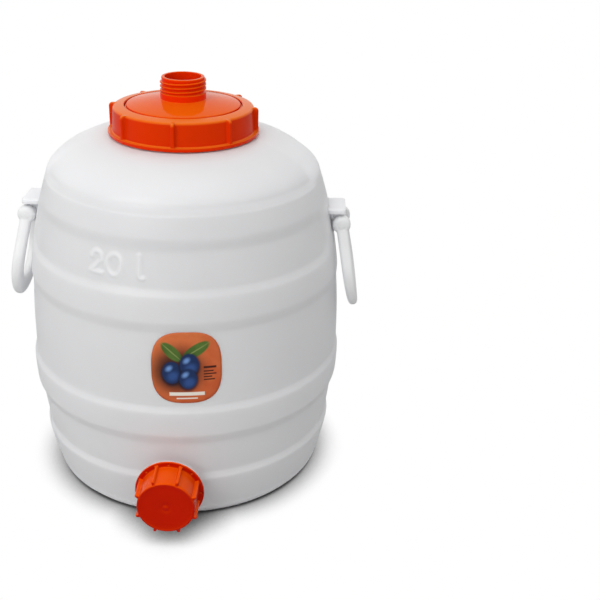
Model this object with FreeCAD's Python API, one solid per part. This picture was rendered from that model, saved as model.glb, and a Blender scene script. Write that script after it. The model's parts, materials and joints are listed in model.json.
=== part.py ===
"""Twenty litre screw-lid fermenting barrel with a capped drain spout and two bail handles.

Frame: millimetres, origin at the centre of the base on the floor, +Z up, the drain
spout towards -Y, the handles at +X and -X. Every piece is written in this frame.
"""
import FreeCAD, Part
import math
import os

from FreeCAD import Vector

# ---------------------------------------------------------------- barrel shell
BELLY_R = 155.0            # largest outside radius
BELLY_Z = 135.0            # height of the belly
SHOULDER_Z = 309.0         # top edge of the uppermost raised band
SHOULDER_R = 130.4
HEEL_Z = 7.0               # top of the rounded edge above the base
HEEL_R = 137.0
FOOT_R = 131.0             # outer radius of the standing ring
FOOT_WIDTH = 11.0
PUSH_UP = 6.0              # how far the middle of the base stands off the floor
UPPER_POWER = 2.4          # how quickly the wall curves in above the belly
LOWER_POWER = 2.1          # and below it
WALL = 3.0

BAND_STEP = 6.0            # height of the slope at a band edge
UPPER_RECESS = (241.0, 282.0, 2.8)     # low edge, high edge, depth
LABEL_RECESS = (129.0, 210.0, 3.2)
LOWER_RECESS = (52.0, 96.0, 3.7)
DOME_STEP = 4.3            # the dome lies this far inside the uppermost band
RECESS_HALF_ANGLE = 74.0   # recesses stop here, so the wall beside each handle is plain

DOME_TOP_Z = 343.0
DOME_TOP_R = 73.4
DOME_POWER = 1.56

# ---------------------------------------------------------------- neck and its thread
NECK_R = 60.3
NECK_BORE_R = 56.5
NECK_RIM_Z = 361.9
NECK_CREST_R = 62.4
LID_LEAD = 7.0             # rise of the screw ring in one turn
LID_RIDGE = (2.6, 1.4)     # width of a thread ridge at its root and at its crest
NECK_RIDGE_Z = 350.0
NECK_RIDGE_TURNS = 1.25

# ---------------------------------------------------------------- lid
RING_BOTTOM_Z = 344.0
RING_TOP_Z = 370.8
RING_FLANGE_R = 71.0
RING_FLANGE_T = 3.4
RING_FOOT_R = 67.0         # outside of the skirt where it leaves the flange
RING_HEAD_R = 66.0         # outside of the skirt below its rounded shoulder
RING_BORE_R = 63.5
RING_CREST_R = 61.2
RING_SHOULDER = 2.4        # rounding between the top and the skirt
RING_TOP_FALL = 1.6        # the top slopes down to its shoulder
RING_TOP_T = 4.2           # at the window
RING_WINDOW_R = 55.2       # hole in the top that shows the disc
RING_RIDGE_TURNS = 1.5
LID_RIBS = 8
LID_RIB_R = 70.5           # outer edge of a rib from the lid's axis
LID_RIB_WIDTH = 3.8
LID_RIB_TOP_Z = 369.4
LID_RIB_CORNER = 3.2
LID_RIB_PHASE = -1.2       # turn of the first rib from the drain direction

DISC_R = 53.2
DISC_T = 3.2
DISC_CROWN_R = 233.0       # the plate is a shallow cap of a sphere of this radius
DISC_FLANGE_R = 62.6
DISC_FLANGE_T = 2.6
DISC_RIM_WIDTH = 4.5       # solid ring between the plate and its flange
DISC_SIDE_GAP = 0.3        # below the top of the screw ring
SPIGOT_TOP_Z = 396.4
SPIGOT_BORE_R = 17.0
SPIGOT_R = 19.7
SPIGOT_COLLAR = (21.5, 11.3)   # radius and top of the collar at its foot, above the disc's edge
SPIGOT_CREST_R = 21.4
SPIGOT_LEAD = 3.7
SPIGOT_RIDGE = (2.2, 0.9)
SPIGOT_RIDGE_TURNS = 2.75
SPIGOT_LIP = 1.0

LID_GASKET_R = (56.5, 61.5)
SEAL_GAP = 0.1             # between a gasket and the rim that it meets

# ---------------------------------------------------------------- drain, measured out from its pad
DRAIN_Z = 44.8
DRAIN_PAD_Y = -157.0
DRAIN_PAD_R = 26.0
SPOUT_R = 20.6
SPOUT_BORE_R = 17.2
SPOUT_CREST_R = 22.6
SPOUT_LENGTH = 21.4
DRAIN_LEAD = 6.0
DRAIN_RIDGE = (2.4, 1.2)
SPOUT_RIDGE_START = 6.0
SPOUT_RIDGE_TURNS = 1.6

CAP_FOOT_GAP = 0.6
CAP_LENGTH = 28.3
CAP_TOP_T = 4.0
CAP_FLANGE_R = 32.2
CAP_FLANGE_T = 2.0
CAP_FOOT_R = 27.0
CAP_HEAD_R = 26.7
CAP_BORE_R = 23.4
CAP_CREST_R = 21.4
CAP_EDGE = 1.2
CAP_RIBS = 8
CAP_RIB_R = 30.2
CAP_RIB_WIDTH = 3.8
CAP_RIB_TOP = 27.4
CAP_RIB_CORNER = 1.2
CAP_RIB_PHASE = 22.5
CAP_RIDGE_TURNS = 1.8
CAP_HOLE_R = 1.2           # small holes through the flange, between the ribs
CAP_HOLE_PITCH_R = 29.7
DRAIN_GASKET_R = 21.1

# ---------------------------------------------------------------- handle lugs and handles
PIVOT_R = 153.0            # pivot axis from the barrel's axis
PIVOT_Z = 260.5
LUG_HALF_WIDTH = 9.5
LUG_NOSE_R = 9.0           # rounding of the lug about the pivot
LUG_TOP_Z = 271.6
HOOD_T = 4.9
HOOD_HALF_WIDTH = 18.0
HOOD_R = 156.4             # outer edge of the hood
HOOD_CORNER_R = 3.0
PEG_R = 3.92
PEG_BORE_R = 4.0
PEG_LENGTH = 8.0

HUB_R = 8.8
HUB_INNER = 10.0           # gap between a hub and the lug is HUB_INNER - LUG_HALF_WIDTH
HUB_OUTER = 21.0
HUB_DOME = 5.0
BAIL_T = 11.0              # thickness of the grip across its plane
BAIL_NECK = 19.4           # half width across the arms, level with the pivot
BAIL_OUTER_R = 38.5
BAIL_OUTER_DROP = 51.0     # centre of the outer round end, below the pivot
BAIL_INNER_R = 25.0
BAIL_INNER_DROP = 46.0
BAIL_EDGE = 3.2
LEFT_TILT = 9.8            # how far each handle hangs outwards at rest
RIGHT_TILT = 10.5

# ---------------------------------------------------------------- label
LABEL_AZIMUTH = 6.6        # from the drain direction towards +X
LABEL_Z = 171.0
LABEL_WIDTH = 64.0
LABEL_HEIGHT = 70.0
LABEL_CORNER_R = 24.0
LABEL_T = 0.4

Z_AXIS = Vector(0, 0, 1)
ORIGIN = Vector(0, 0, 0)


def wall_radius(z):
    """Outside radius of the plain wall at height z, without recesses."""
    if z >= BELLY_Z:
        share = (z - BELLY_Z) / (SHOULDER_Z - BELLY_Z)
        return BELLY_R - (BELLY_R - SHOULDER_R) * share ** UPPER_POWER
    share = (BELLY_Z - z) / (BELLY_Z - HEEL_Z)
    return BELLY_R - (BELLY_R - HEEL_R) * share ** LOWER_POWER


def spline(points):
    """Smooth edge through (radius, height) points."""
    curve = Part.BSplineCurve()
    curve.interpolate([Vector(r, 0, z) for r, z in points])
    return curve.toShape()


def wall_edge(z_low, z_high, inset, pieces=8):
    """Edge that follows the plain wall from z_low to z_high, moved inwards by inset."""
    heights = [z_low + (z_high - z_low) * i / pieces for i in range(pieces + 1)]
    return spline([(wall_radius(z) - inset, z) for z in heights])


def dome_points(start_r, start_z, top_z, inset=0.0, pieces=8):
    """Points of the domed shoulder, from its edge up to the root of the neck."""
    points = []
    for i in range(pieces + 1):
        turn = math.radians(90.0 * (pieces - i) / pieces)
        r = DOME_TOP_R + (start_r - DOME_TOP_R) * math.sin(turn) ** (2 / DOME_POWER)
        z = start_z + (top_z - start_z) * math.cos(turn) ** (2 / DOME_POWER)
        points.append((r - inset * math.sin(turn), z - inset * math.cos(turn)))
    return points


def chain(*parts):
    """Closed face from edges and (radius, height) corners given in order round the outline."""
    edges = []
    last = None
    first = None
    for part in parts:
        if isinstance(part, tuple):
            start = end = Vector(part[0], 0, part[1])
        else:
            start, end = part.valueAt(part.FirstParameter), part.valueAt(part.LastParameter)
        if last is not None and not last.isEqual(start, 1e-7):
            edges.append(Part.makeLine(last, start))
        if not isinstance(part, tuple):
            edges.append(part)
        first = first or start
        last = end
    edges.append(Part.makeLine(last, first))
    return Part.Face(Part.Wire(edges))


def turned(*parts):
    """Solid of revolution about Z."""
    return chain(*parts).revolve(ORIGIN, Z_AXIS, 360)


def both_sides(face):
    """Turn a face through the front and the back, leaving the sides by the handles plain."""
    sweep = 2 * RECESS_HALF_ANGLE
    solids = []
    for middle in (-90.0, 90.0):
        start = face.copy()
        start.rotate(ORIGIN, Z_AXIS, middle - RECESS_HALF_ANGLE)
        solids.append(start.revolve(ORIGIN, Z_AXIS, sweep))
    return solids


def slope_out(foot, brow, reach=4.0):
    """Point on the line from foot through brow, well outside the wall."""
    return (foot[0] + reach * (brow[0] - foot[0]), foot[1] + reach * (brow[1] - foot[1]))


def recess_face(recess, inset):
    """Section of the ring that a recess takes out of the wall, inset by the wall for the cavity."""
    low, high, depth = recess
    half = BAND_STEP / 2
    spread = 0.4 * inset
    low, high = low - spread, high + spread
    floor_low = (wall_radius(low + half) - depth - inset, low + half)
    floor_high = (wall_radius(high - half) - depth - inset, high - half)
    brow_low = (wall_radius(low - half) - inset, low - half)
    brow_high = (wall_radius(high + half) - inset, high + half)
    return chain(slope_out(floor_low, brow_low), wall_edge(low + half, high - half, depth + inset),
                 slope_out(floor_high, brow_high))


def stepped_dome(inset=0.0):
    """Points of the dome inside its step, ending just under the plain dome."""
    return dome_points(SHOULDER_R - DOME_STEP, SHOULDER_Z + BAND_STEP / 2, DOME_TOP_Z - 0.4, inset)


def barrel_outside():
    """Everything inside the outer surface of the shell, before the handles and the spout."""
    plain_dome = spline(dome_points(SHOULDER_R, SHOULDER_Z, DOME_TOP_Z))
    solid = turned((0, PUSH_UP), (FOOT_R - FOOT_WIDTH - PUSH_UP, PUSH_UP), (FOOT_R - FOOT_WIDTH, 0),
                   (FOOT_R, 0), wall_edge(HEEL_Z, SHOULDER_Z, 0, 14), plain_dome,
                   (NECK_R, DOME_TOP_Z), (NECK_R, NECK_RIM_Z), (0, NECK_RIM_Z))
    above = DOME_TOP_Z + 5
    dome = stepped_dome()
    brow = (SHOULDER_R, SHOULDER_Z - BAND_STEP / 2)
    cuts = both_sides(recess_face(UPPER_RECESS, 0))
    cuts += both_sides(chain(slope_out(dome[0], brow), spline(dome),
                             (DOME_TOP_R - 4, dome[-1][1]), (DOME_TOP_R - 4, above),
                             (BELLY_R, above)))
    for recess in (LABEL_RECESS, LOWER_RECESS):
        cuts.append(recess_face(recess, 0).revolve(ORIGIN, Z_AXIS, 360))
    for cut in cuts:
        solid = solid.cut(cut)
    return solid


def barrel_cavity():
    """The space inside the shell, open at the neck."""
    floor = PUSH_UP + WALL
    foot_in = FOOT_R - FOOT_WIDTH
    solid = turned((0, floor), (foot_in - PUSH_UP + 1, floor), (foot_in + 1, WALL),
                   (FOOT_R - 2, WALL), wall_edge(HEEL_Z + 1.5, SHOULDER_Z - WALL, WALL, 14),
                   spline(stepped_dome(WALL)), (NECK_BORE_R, DOME_TOP_Z - WALL - 0.4),
                   (NECK_BORE_R, NECK_RIM_Z + 5), (0, NECK_RIM_Z + 5))
    for part in both_sides(recess_face(UPPER_RECESS, WALL)):
        solid = solid.cut(part)
    for recess in (LABEL_RECESS, LOWER_RECESS):
        solid = solid.cut(recess_face(recess, WALL).revolve(ORIGIN, Z_AXIS, 360))
    return solid


def thread_ridge(root_r, crest_r, widths, lead, turns, z_start):
    """Right-hand helical ridge about Z, from root_r to crest_r; inwards if crest_r is smaller."""
    bury = 0.3 if crest_r > root_r else -0.3
    root = root_r - bury
    helix = Part.makeHelix(lead, lead * turns, root)
    half_root, half_crest = widths[0] / 2, widths[1] / 2
    corners = [Vector(root, 0, -half_root), Vector(crest_r, 0, -half_crest),
               Vector(crest_r, 0, half_crest), Vector(root, 0, half_root)]
    profile = Part.makePolygon(corners + corners[:1])
    ridge = Part.Wire(helix.Edges).makePipeShell([profile], True, True)
    ridge.translate(Vector(0, 0, z_start))
    return ridge


def to_drain(shape):
    """Move a shape built about Z, with its foot at z = 0, onto the drain pad, pointing to -Y."""
    shape.rotate(ORIGIN, Vector(1, 0, 0), 90)
    shape.translate(Vector(0, DRAIN_PAD_Y, DRAIN_Z))
    return shape


def handle_lug():
    """Lug at +X: a web that carries the pivot, under a flat hood."""
    inner = PIVOT_R - 20
    web = Part.makeBox(PIVOT_R - inner, 2 * LUG_HALF_WIDTH, LUG_TOP_Z - PIVOT_Z + LUG_NOSE_R,
                       Vector(inner, -LUG_HALF_WIDTH, PIVOT_Z - LUG_NOSE_R))
    nose = Part.makeCylinder(LUG_NOSE_R, 2 * LUG_HALF_WIDTH,
                             Vector(PIVOT_R, -LUG_HALF_WIDTH, PIVOT_Z), Vector(0, 1, 0))
    hood = Part.makeBox(HOOD_R - inner, 2 * HOOD_HALF_WIDTH, HOOD_T,
                        Vector(inner, -HOOD_HALF_WIDTH, LUG_TOP_Z))
    corners = [edge for edge in hood.Edges
               if abs(edge.CenterOfMass.x - HOOD_R) < 0.01 and abs(edge.Length - HOOD_T) < 0.01]
    hood = hood.makeFillet(HOOD_CORNER_R, corners)
    nose_top = Part.makeBox(LUG_NOSE_R - 2, 2 * LUG_HALF_WIDTH, LUG_TOP_Z - PIVOT_Z,
                            Vector(PIVOT_R - 4, -LUG_HALF_WIDTH, PIVOT_Z))
    return web.fuse([nose, nose_top, hood]).removeSplitter()


def barrel_body():
    """Hollow shell with its neck, drain spout and handle lugs."""
    solid = barrel_outside()
    pad_depth = 25.0
    pad = to_drain(Part.makeCylinder(DRAIN_PAD_R, pad_depth, Vector(0, 0, -pad_depth)))
    spout = to_drain(Part.makeCylinder(SPOUT_R, SPOUT_LENGTH + 5, Vector(0, 0, -5)))
    lug = handle_lug()
    solid = solid.fuse([pad, spout, lug, lug.mirror(ORIGIN, Vector(1, 0, 0))])
    pad_hollow = to_drain(Part.makeCylinder(DRAIN_PAD_R - WALL, pad_depth,
                                            Vector(0, 0, -pad_depth - WALL)))
    bore = to_drain(Part.makeCylinder(SPOUT_BORE_R, SPOUT_LENGTH + 20, Vector(0, 0, -15)))
    peg_bore = Part.makeCylinder(PEG_BORE_R, 4 * LUG_HALF_WIDTH,
                                 Vector(PIVOT_R, -2 * LUG_HALF_WIDTH, PIVOT_Z), Vector(0, 1, 0))
    solid = solid.cut(barrel_cavity().fuse(pad_hollow))
    solid = solid.cut([bore, peg_bore, peg_bore.mirror(ORIGIN, Vector(1, 0, 0))])
    neck_ridge = thread_ridge(NECK_R, NECK_CREST_R, LID_RIDGE, LID_LEAD,
                              NECK_RIDGE_TURNS, NECK_RIDGE_Z)
    spout_ridge = to_drain(thread_ridge(SPOUT_R, SPOUT_CREST_R, DRAIN_RIDGE, DRAIN_LEAD,
                                        SPOUT_RIDGE_TURNS, SPOUT_RIDGE_START))
    return solid.fuse([neck_ridge, spout_ridge])


def ribs(count, phase, wall_r, rib_r, width, z_low, z_top, corner):
    """Upright ribs with a rounded outer top corner, evenly spaced about Z from phase after -Y."""
    bury = 0.8
    centre = Vector(rib_r - corner, 0, z_top - corner)
    reach = corner * math.cos(math.radians(45))
    brow = Part.Arc(centre + Vector(corner, 0, 0), centre + Vector(reach, 0, reach),
                    centre + Vector(0, 0, corner)).toShape()
    face = chain((wall_r - bury, z_low), (rib_r, z_low), brow, (wall_r - bury, z_top))
    solids = []
    for i in range(count):
        rib = face.extrude(Vector(0, width, 0))
        rib.translate(Vector(0, -width / 2, 0))
        rib.rotate(ORIGIN, Z_AXIS, -90 + phase + 360 * i / count)
        solids.append(rib)
    return solids


def lid_screw_ring():
    """Ribbed screw ring of the lid, with an inside thread and an open top."""
    flange_top = RING_BOTTOM_Z + RING_FLANGE_T
    under_top = RING_TOP_Z - RING_TOP_T
    shoulder_z = RING_TOP_Z - RING_TOP_FALL
    centre = Vector(RING_HEAD_R - RING_SHOULDER, 0, shoulder_z - RING_SHOULDER)
    corner = RING_SHOULDER * math.cos(math.radians(45))
    shoulder = Part.Arc(centre + Vector(RING_SHOULDER, 0, 0), centre + Vector(corner, 0, corner),
                        centre + Vector(0, 0, RING_SHOULDER)).toShape()
    ring = turned((RING_BORE_R, RING_BOTTOM_Z), (RING_FLANGE_R, RING_BOTTOM_Z),
                  (RING_FLANGE_R, flange_top), (RING_FOOT_R, flange_top), shoulder,
                  (RING_WINDOW_R, RING_TOP_Z), (RING_WINDOW_R, under_top), (RING_BORE_R, under_top))
    ring = ring.fuse(ribs(LID_RIBS, LID_RIB_PHASE, RING_HEAD_R, LID_RIB_R, LID_RIB_WIDTH,
                          RING_BOTTOM_Z, LID_RIB_TOP_Z, LID_RIB_CORNER))
    ridge = thread_ridge(RING_BORE_R, RING_CREST_R, LID_RIDGE, LID_LEAD,
                         RING_RIDGE_TURNS, NECK_RIDGE_Z - LID_LEAD / 2)
    return ring.fuse(ridge)


def crown_edge(inner_r, outer_r, edge_z):
    """Arc of the disc's crown between two radii, over an edge of radius DISC_R at edge_z."""
    points = [Vector(r, 0, edge_z + (DISC_R ** 2 - r ** 2) / (2 * DISC_CROWN_R))
              for r in (inner_r, (inner_r + outer_r) / 2, outer_r)]
    return Part.Arc(*points).toShape()


def lid_disc():
    """Crowned disc that the screw ring clamps down, with the threaded spigot in its middle."""
    flange_top = RING_TOP_Z - RING_TOP_T - DISC_SIDE_GAP
    flange_bottom = flange_top - DISC_FLANGE_T
    plate_bottom = RING_TOP_Z - DISC_T
    rim_in = DISC_R - DISC_RIM_WIDTH
    collar_r, collar_z = SPIGOT_COLLAR[0], RING_TOP_Z + SPIGOT_COLLAR[1]
    disc = turned((SPIGOT_BORE_R, plate_bottom), (SPIGOT_R, plate_bottom),
                  crown_edge(SPIGOT_R, rim_in, plate_bottom), (rim_in, flange_bottom),
                  (DISC_FLANGE_R, flange_bottom), (DISC_FLANGE_R, flange_top), (DISC_R, flange_top),
                  crown_edge(DISC_R, collar_r, RING_TOP_Z), (collar_r, collar_z), (SPIGOT_R, collar_z),
                  (SPIGOT_R, SPIGOT_TOP_Z - SPIGOT_LIP),
                  (SPIGOT_R - SPIGOT_LIP, SPIGOT_TOP_Z), (SPIGOT_BORE_R, SPIGOT_TOP_Z))
    ridge = thread_ridge(SPIGOT_R, SPIGOT_CREST_R, SPIGOT_RIDGE, SPIGOT_LEAD,
                         SPIGOT_RIDGE_TURNS, collar_z + SPIGOT_RIDGE[0])
    return disc.fuse(ridge)


def lid_gasket():
    """Flat ring between the rim of the neck and the disc."""
    low = NECK_RIM_Z + SEAL_GAP
    high = RING_TOP_Z - RING_TOP_T - DISC_SIDE_GAP - DISC_FLANGE_T
    inner, outer = LID_GASKET_R
    return turned((inner, low), (outer, low), (outer, high), (inner, high))


def drain_cap():
    """Ribbed screw cap of the drain spout."""
    flange_top = CAP_FOOT_GAP + CAP_FLANGE_T
    under_top = CAP_LENGTH - CAP_TOP_T
    cap = turned((CAP_BORE_R, CAP_FOOT_GAP), (CAP_FLANGE_R, CAP_FOOT_GAP), (CAP_FLANGE_R, flange_top),
                 (CAP_FOOT_R, flange_top), (CAP_HEAD_R, CAP_LENGTH - CAP_EDGE),
                 (CAP_HEAD_R - CAP_EDGE, CAP_LENGTH), (0, CAP_LENGTH), (0, under_top),
                 (CAP_BORE_R, under_top))
    cap = cap.fuse(ribs(CAP_RIBS, CAP_RIB_PHASE, CAP_HEAD_R, CAP_RIB_R, CAP_RIB_WIDTH,
                        CAP_FOOT_GAP, CAP_RIB_TOP, CAP_RIB_CORNER))
    holes = [Part.makeCylinder(CAP_BORE_R, under_top)]
    for i in range(CAP_RIBS):
        angle = math.radians(-90 + CAP_RIB_PHASE + 360 * (i + 0.5) / CAP_RIBS)
        holes.append(Part.makeCylinder(CAP_HOLE_R, 2 * flange_top, Vector(
            CAP_HOLE_PITCH_R * math.cos(angle), CAP_HOLE_PITCH_R * math.sin(angle), 0)))
    ridge = thread_ridge(CAP_BORE_R, CAP_CREST_R, DRAIN_RIDGE, DRAIN_LEAD,
                         CAP_RIDGE_TURNS, SPOUT_RIDGE_START - DRAIN_LEAD / 2)
    return to_drain(cap.cut(holes).fuse(ridge))


def drain_gasket():
    """Sealing wad inside the drain cap."""
    low = SPOUT_LENGTH + SEAL_GAP
    high = CAP_LENGTH - CAP_TOP_T
    return to_drain(Part.makeCylinder(DRAIN_GASKET_R, high - low, Vector(0, 0, low)))


def tangent_point(point, centre, radius):
    """Where the line from a point in the upper half plane touches a circle on the axis."""
    dx, dy = point[0] - centre, point[1]
    angle = math.atan2(dy, dx) - math.acos(radius / math.hypot(dx, dy))
    return centre + radius * math.cos(angle), radius * math.sin(angle)


def bail_plate(half_gap, top, centre, radius, thickness):
    """Flat loop outline: straight flanks from (drop, half width) that run into a round end."""
    drop, half = tangent_point((top, half_gap), centre, radius)
    x = -thickness / 2
    left, right = Vector(x, -half_gap, -top), Vector(x, half_gap, -top)
    end = Part.Arc(Vector(x, half, -drop), Vector(x, 0, -centre - radius), Vector(x, -half, -drop))
    wire = Part.Wire([Part.makeLine(left, right), Part.makeLine(right, Vector(x, half, -drop)),
                      end.toShape(), Part.makeLine(Vector(x, -half, -drop), left)])
    return Part.Face(wire).extrude(Vector(thickness, 0, 0))


def handle(side, tilt):
    """Bail handle on the side +1 or -1: two hubs with inward pegs and a closed round grip."""
    outer = bail_plate(BAIL_NECK, 0, BAIL_OUTER_DROP, BAIL_OUTER_R, BAIL_T)
    inner = bail_plate(HUB_INNER, 0, BAIL_INNER_DROP, BAIL_INNER_R, 3 * BAIL_T)
    grip = outer.cut(inner.translated(Vector(BAIL_T, 0, 0)).fuse(inner))
    grip = grip.cut(inner.translated(Vector(-BAIL_T, 0, 0)))
    faces = [edge for edge in grip.Edges
             if abs(abs(edge.CenterOfMass.x) - BAIL_T / 2) < 0.01 and edge.CenterOfMass.z < -1]
    grip = grip.makeFillet(BAIL_EDGE, faces)
    solid = grip
    for direction in (-1, 1):
        axis = Vector(0, direction, 0)
        hub = Part.makeCylinder(HUB_R, HUB_OUTER - HUB_INNER, axis * HUB_INNER, axis)
        rim = [edge for edge in hub.Edges
               if abs(edge.CenterOfMass.y - direction * HUB_OUTER) < 0.01]
        hub = hub.makeFillet(HUB_DOME, rim)
        peg = Part.makeCylinder(PEG_R, PEG_LENGTH, axis * (HUB_INNER - PEG_LENGTH), axis)
        solid = solid.fuse([hub, peg])
    solid.rotate(ORIGIN, Vector(0, 1, 0), -tilt)
    solid.translate(Vector(PIVOT_R, 0, PIVOT_Z))
    if side < 0:
        solid = solid.mirror(ORIGIN, Vector(1, 0, 0))
    return solid


def front_label():
    """Thin rounded sticker that follows the floor of the label recess."""
    low, high, depth = LABEL_RECESS
    inside = depth - 0.02
    half = BAND_STEP / 2
    low, high = low + half, high - half
    sheet = turned(wall_edge(low, high, inside), wall_edge(high, low, inside - LABEL_T))
    blank = Part.makeBox(LABEL_WIDTH, BELLY_R, LABEL_HEIGHT,
                         Vector(-LABEL_WIDTH / 2, -BELLY_R, LABEL_Z - LABEL_HEIGHT / 2))
    corners = [edge for edge in blank.Edges if abs(edge.Length - BELLY_R) < 0.01]
    blank = blank.makeFillet(LABEL_CORNER_R, corners)
    blank.rotate(ORIGIN, Z_AXIS, LABEL_AZIMUTH)
    return sheet.common(blank)


def main():
    os.makedirs("parts", exist_ok=True)
    pieces = {
        "barrel_body": barrel_body(),
        "lid_screw_ring": lid_screw_ring(),
        "lid_disc": lid_disc(),
        "lid_gasket": lid_gasket(),
        "drain_cap": drain_cap(),
        "drain_gasket": drain_gasket(),
        "handle_left": handle(-1, LEFT_TILT),
        "handle_right": handle(1, RIGHT_TILT),
        "front_label": front_label(),
    }
    for name, shape in pieces.items():
        solids = shape.Solids
        if len(solids) != 1 or not shape.isValid():
            raise ValueError("%s: %d solids, valid %s" % (name, len(solids), shape.isValid()))
        solids[0].exportStep("parts/%s.step" % name)
        box = shape.BoundBox
        print("%-15s %9.1f cm3  x %.1f..%.1f  y %.1f..%.1f  z %.1f..%.1f" % (
            name, shape.Volume / 1000, box.XMin, box.XMax, box.YMin, box.YMax, box.ZMin, box.ZMax))


main()
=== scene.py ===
"""Looks of the fermenting barrel: moulded shell, screw lid, drain cap, bail handles and label.

Everything is in metres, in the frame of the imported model: +Z up, drain towards -Y,
handles at +X and -X. Angles round the barrel run from the drain direction towards +X.
"""
import json
import math

import bmesh
import bpy
import numpy as np
from mathutils import Matrix, Vector


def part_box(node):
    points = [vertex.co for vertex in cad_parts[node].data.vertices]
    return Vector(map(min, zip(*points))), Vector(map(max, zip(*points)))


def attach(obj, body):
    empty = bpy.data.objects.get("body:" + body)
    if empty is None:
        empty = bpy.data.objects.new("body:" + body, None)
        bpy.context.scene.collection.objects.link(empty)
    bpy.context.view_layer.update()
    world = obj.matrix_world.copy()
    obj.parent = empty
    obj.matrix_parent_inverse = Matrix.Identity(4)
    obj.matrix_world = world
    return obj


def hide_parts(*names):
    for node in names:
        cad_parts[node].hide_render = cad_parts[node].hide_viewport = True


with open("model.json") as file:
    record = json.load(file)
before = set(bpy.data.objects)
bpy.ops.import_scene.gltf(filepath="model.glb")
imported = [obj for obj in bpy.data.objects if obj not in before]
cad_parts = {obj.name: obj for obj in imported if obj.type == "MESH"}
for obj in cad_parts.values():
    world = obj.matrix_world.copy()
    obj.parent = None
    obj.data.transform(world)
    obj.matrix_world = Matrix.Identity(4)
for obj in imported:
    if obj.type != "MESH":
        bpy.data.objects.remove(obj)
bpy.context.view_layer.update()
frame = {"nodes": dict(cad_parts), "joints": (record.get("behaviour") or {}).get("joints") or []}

MM = 0.001
DEG = math.pi / 180

# -------- sizes shared with the frame
shell_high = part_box("barrel_body")[1]
ring_low, ring_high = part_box("lid_screw_ring")
disc_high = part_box("lid_disc")[1]
cap_low, cap_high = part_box("drain_cap")
joints = {joint["name"]: joint for joint in frame["joints"]}

BELLY_R = shell_high.y
BELLY_Z = 135 * MM
SHOULDER_Z = 309 * MM
SHOULDER_R = 130.4 * MM
HEEL_Z = 7 * MM
HEEL_R = 137 * MM
FOOT_R = 131 * MM
FOOT_IN_R = FOOT_R - 11 * MM
FOOT_FILLET = 3 * MM
PUSH_UP = 6 * MM
POLE_R = 2 * MM
UPPER_POWER = 2.4
LOWER_POWER = 2.1
WALL = 3 * MM

# Recesses round the wall, each as (lower edge, upper edge, depth).
UPPER_RECESS = (241 * MM, 282 * MM, 2.8 * MM)
LABEL_RECESS = (129 * MM, 210 * MM, 3.2 * MM)
LOWER_RECESS = (52 * MM, 96 * MM, 3.7 * MM)
RECESS_END = 74 * DEG
RECESS_CORNER = 14 * MM
SILL_HALF = 3.2 * MM
EAVE_HALF = 4.8 * MM
SHALLOW = 0.4
SHALLOW_MIDDLE = 77 * DEG
SHALLOW_HALF = 6 * DEG

SEAM_Z = 9.5 * MM
SEAM_HALF = 1 * MM
SEAM_HEIGHT = 0.35 * MM
CAPACITY_ANGLE = -28.7 * DEG
CAPACITY_Z = 251.6 * MM
RELIEF = 1.0 * MM
STROKE_HALF = 1.8 * MM
STROKE_EDGE = 1.1 * MM

STEP_HALF = 2.6 * MM
DOME_STEP = 4.3 * MM
DOME_STEP_END = 2.2 * DEG
DOME_TOP_Z = 343 * MM
DOME_TOP_R = 73.4 * MM
DOME_POWER = 1.56
NECK_R = 60.3 * MM
NECK_BORE_R = 56.5 * MM
NECK_RIM_Z = shell_high.z

DRAIN_Z = (cap_low.z + cap_high.z) / 2
PAD_Y = -157 * MM
PAD_R = 23.2 * MM
PAD_SLOPE = 5
PAD_FILLET = 2 * MM
PAD_REACH = 60 * MM

# Thread ridges have a width at the root and at the crest.
LID_LEAD = 7 * MM
LID_RIDGE = (2.6 * MM, 1.4 * MM)
NECK_CREST_R = 62.4 * MM
NECK_RIDGE_Z = 350 * MM
RING_TOP_Z = ring_high.z
RING_BOTTOM_Z = ring_low.z
RING_FLANGE_R = 71.0 * MM
RING_FLANGE_T = 3.4 * MM
RING_FOOT_R = 67 * MM
RING_HEAD_R = 66 * MM
RING_BORE_R = 63.5 * MM
RING_CREST_R = 61.2 * MM
RING_SHOULDER = 2.4 * MM
RING_TOP_FALL = 1.6 * MM
RING_TOP_T = 4.2 * MM
RING_WINDOW_R = 55.2 * MM
LID_RIB_R = 70.5 * MM
LID_RIB_TOP_Z = 369.4 * MM
LID_RIB_CORNER = 3.2 * MM
# Ribs have a number, the angle of the first, half a width and an outer radius.
LID_RIBS = (8, -1.2 * DEG, 1.9 * MM, LID_RIB_R)

DISC_R = 53.2 * MM
DISC_T = 3.2 * MM
DISC_CROWN_R = 233 * MM
DISC_FLANGE_R = disc_high.x
DISC_FLANGE_T = 2.6 * MM
DISC_FLANGE_GAP = 0.3 * MM
DISC_RIM_IN = 48.7 * MM
LEDGE_R = 54.7 * MM
LEDGE_DEPTH = 2.0 * MM
SPIGOT_TOP_Z = disc_high.z
SPIGOT_BORE_R = 17 * MM
SPIGOT_R = 19.7 * MM
SPIGOT_COLLAR_R = 21.5 * MM
SPIGOT_COLLAR_TOP = 11.3 * MM
SPIGOT_LIP = 0.3 * MM
SPIGOT_LIP_HEIGHT = 2.0 * MM
SPIGOT_CREST_R = 21.4 * MM
SPIGOT_LEAD = 3.7 * MM
SPIGOT_RIDGE = (2.2 * MM, 0.9 * MM)

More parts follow.
